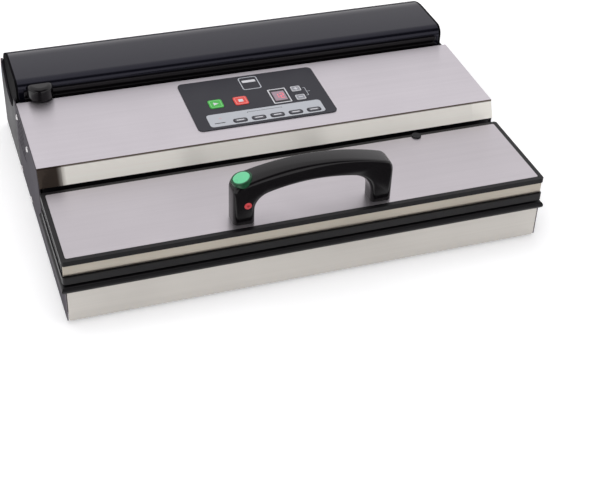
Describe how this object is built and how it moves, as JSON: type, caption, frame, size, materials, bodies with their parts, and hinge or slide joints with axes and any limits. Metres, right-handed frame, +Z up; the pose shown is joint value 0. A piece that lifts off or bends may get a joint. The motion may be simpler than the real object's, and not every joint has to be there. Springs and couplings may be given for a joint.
{
  "type": "vacuum sealer",
  "caption": "Kitchen vacuum sealer with hinged sealing lid, arched handle, roll compartment under a smoke cover, sliding film cutter and key panel.",
  "frame": {"origin": "bottom centre of the machine, on the plane the feet stand on", "axes": "+X to the right seen from the front, +Y towards the back, +Z up"},
  "size_m": [0.498, 0.375, 0.1308],
  "materials": {
    "steel_brushed": "brushed along the width",
    "steel_side": "fine brushed sheet",
    "black_plastic": "fine texture, moulded",
    "gloss_black": "glossy, moulded",
    "grey_plastic": "smooth, moulded",
    "smoke_cover": "smoke-tinted transparent, polished",
    "rubber_black": "matt",
    "foam_gasket": "closed-cell foam",
    "silicone_red": "matt silicone",
    "aluminium": "extruded",
    "heater_alloy": "flat drawn strip",
    "ptfe_tape": "coated glass cloth",
    "tube": "translucent tube",
    "motor_steel": "zinc plated",
    "pump_plastic": "glass-filled",
    "valve": "moulded with coil",
    "switch_white": "moulded",
    "transformer_iron": "varnished laminations",
    "circuit_board": "solder mask",
    "screw_steel": "bright nickel",
    "overlay": "matt polyester film",
    "display": "dark window",
    "key_green": "printed film",
    "key_red": "printed film",
    "key_grey": "printed film",
    "key_oval": "printed film",
    "button_green": "moulded",
    "lamp_red": "diffusing lens"
  },
  "bodies": {
    "base": {"bottom_pan": "black_plastic", "front_panel": "steel_brushed", "side_panels": "steel_side", "end_caps": "grey_plastic", "top_housing": "steel_brushed", "rear_panel": "black_plastic", "deck": "black_plastic", "suction_nozzle": "pump_plastic", "lower_gasket": "foam_gasket", "sealing_bar": "aluminium", "heating_wire": "heater_alloy", "ptfe_tape": "ptfe_tape", "feet": "rubber_black", "pump_motor": "motor_steel", "pump_head": "pump_plastic", "suction_hose": "tube", "release_valve": "valve", "pressure_switch": "switch_white", "transformer": "transformer_iron", "control_board": "circuit_board", "key_board": "circuit_board", "control_overlay": "overlay", "display_window": "display", "roll_tub": "black_plastic", "tub_ends": "black_plastic", "lid_hinge_brackets": "steel_side", "hinge_pins": "screw_steel", "mains_inlet": "black_plastic", "switch_housing": "black_plastic", "side_screws": "screw_steel", "bottom_screws": "screw_steel"},
    "lid": {"lid_frame": "black_plastic", "lid_top_plate": "steel_brushed", "lid_front_trim": "steel_brushed", "lid_under_panel": "black_plastic", "upper_gasket": "foam_gasket", "pressure_strip": "silicone_red", "handle": "gloss_black", "handle_screws": "screw_steel", "seal_lamp": "lamp_red", "button_bezel": "gloss_black", "start_switch": "pump_plastic", "cable_grommet": "rubber_black"},
    "cover": {"roll_cover": "smoke_cover", "cover_ends": "smoke_cover", "cutter_rail": "gloss_black"},
    "cutter": {"cutter_knob": "gloss_black", "cutter_carriage": "pump_plastic", "cutter_blade": "screw_steel"},
    "start_button": {"start_button": "button_green"},
    "power_rocker": {"power_rocker": "key_red"},
    "key_start": {"key_start": "key_green"},
    "key_stop": {"key_stop": "key_red"},
    "key_plus": {"key_plus": "key_grey"},
    "key_minus": {"key_minus": "key_grey"},
    "key_mode_1": {"key_mode_1": "key_oval"},
    "key_mode_2": {"key_mode_2": "key_oval"},
    "key_mode_3": {"key_mode_3": "key_oval"},
    "key_mode_4": {"key_mode_4": "key_oval"},
    "key_mode_5": {"key_mode_5": "key_oval"}
  },
  "joints": [
    {"name": "lid_hinge", "type": "hinge", "parent": "base", "child": "lid", "pos_m": [0, -0.0795, 0.065], "axis": [-1, 0, 0], "range_deg": [0, 75]},
    {"name": "cover_hinge", "type": "hinge", "parent": "base", "child": "cover", "pos_m": [0, 0.18224, 0.07], "axis": [-1, 0, 0], "range_deg": [0, 80]},
    {"name": "cutter_slide", "type": "slide", "parent": "cover", "child": "cutter", "axis": [1, 0, 0], "range_m": [0, 0.4376]},
    {"name": "start_button_press", "type": "slide", "parent": "lid", "child": "start_button", "axis": [0.2802, 0, -0.96], "range_m": [0, 0.0015], "stiffness_N_per_m": 800, "springref_m": -0.0006},
    {"name": "power_rock", "type": "hinge", "parent": "base", "child": "power_rocker", "pos_m": [0.117, 0.1763, 0.03], "axis": [1, 0, 0], "range_deg": [0, 18]},
    {"name": "key_start_press", "type": "slide", "parent": "base", "child": "key_start", "axis": [0, 0.0254, -0.9997], "range_m": [0, 0.0004], "stiffness_N_per_m": 1500, "springref_m": -0.0004},
    {"name": "key_stop_press", "type": "slide", "parent": "base", "child": "key_stop", "axis": [0, 0.0254, -0.9997], "range_m": [0, 0.0004], "stiffness_N_per_m": 1500, "springref_m": -0.0004},
    {"name": "key_plus_press", "type": "slide", "parent": "base", "child": "key_plus", "axis": [0, 0.0254, -0.9997], "range_m": [0, 0.0004], "stiffness_N_per_m": 1500, "springref_m": -0.0004},
    {"name": "key_minus_press", "type": "slide", "parent": "base", "child": "key_minus", "axis": [0, 0.0254, -0.9997], "range_m": [0, 0.0004], "stiffness_N_per_m": 1500, "springref_m": -0.0004},
    {"name": "key_mode_1_press", "type": "slide", "parent": "base", "child": "key_mode_1", "axis": [0, 0.0254, -0.9997], "range_m": [0, 0.0004], "stiffness_N_per_m": 1500, "springref_m": -0.0004},
    {"name": "key_mode_2_press", "type": "slide", "parent": "base", "child": "key_mode_2", "axis": [0, 0.0254, -0.9997], "range_m": [0, 0.0004], "stiffness_N_per_m": 1500, "springref_m": -0.0004},
    {"name": "key_mode_3_press", "type": "slide", "parent": "base", "child": "key_mode_3", "axis": [0, 0.0254, -0.9997], "range_m": [0, 0.0004], "stiffness_N_per_m": 1500, "springref_m": -0.0004},
    {"name": "key_mode_4_press", "type": "slide", "parent": "base", "child": "key_mode_4", "axis": [0, 0.0254, -0.9997], "range_m": [0, 0.0004], "stiffness_N_per_m": 1500, "springref_m": -0.0004},
    {"name": "key_mode_5_press", "type": "slide", "parent": "base", "child": "key_mode_5", "axis": [0, 0.0254, -0.9997], "range_m": [0, 0.0004], "stiffness_N_per_m": 1500, "springref_m": -0.0004}
  ]
}
